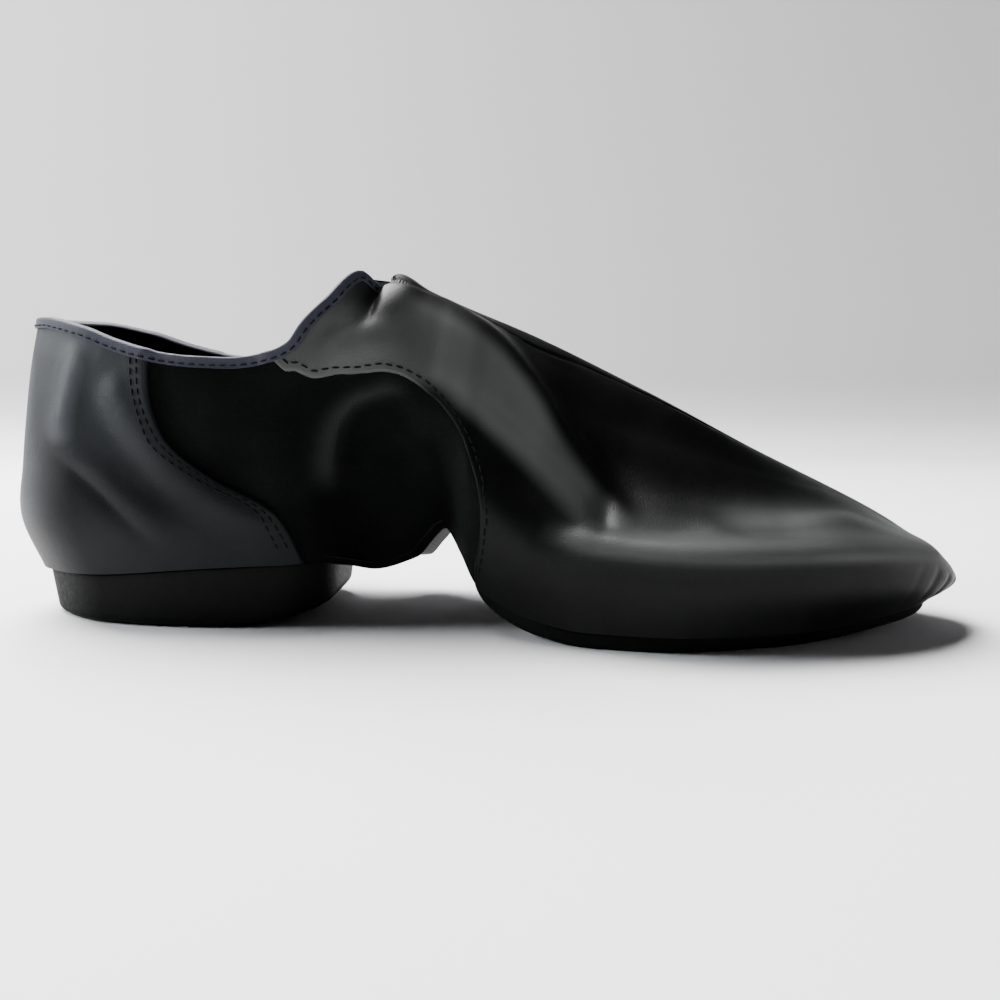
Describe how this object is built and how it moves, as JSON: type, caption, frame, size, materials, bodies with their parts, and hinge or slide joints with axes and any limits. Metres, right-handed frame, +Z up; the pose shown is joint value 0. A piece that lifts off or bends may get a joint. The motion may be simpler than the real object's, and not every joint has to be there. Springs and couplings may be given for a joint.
{
  "type": "jazz shoe",
  "caption": "Left slip-on jazz shoe with a split sole: black leather upper with a stretch arch, elastic throat gores, a rubber heel pad and a thin forefoot sole.",
  "frame": {"origin": "on the floor under the middle of the heel pad's flat rest", "axes": "+X towards the toe, +Y towards the lateral side, +Z up from the floor"},
  "size_m": [0.2478, 0.0821, 0.0893],
  "materials": {
    "upper_leather": "soft semi-gloss with fine grain",
    "counter_leather": "soft satin",
    "stretch_fabric": "matte stretch knit",
    "elastic": "ribbed matte",
    "heel_rubber": "matte",
    "sole_suede": "suede nap, scuffed",
    "sock_lining": "brushed"
  },
  "bodies": {
    "root": {"upper": "upper_leather", "heel_counter": "counter_leather", "throat_gore_medial": "elastic", "throat_gore_lateral": "elastic", "heel_pad": "heel_rubber", "forefoot_sole": "sole_suede", "insole_heel": "sock_lining", "insole_forefoot": "sock_lining"}
  },
  "joints": []
}
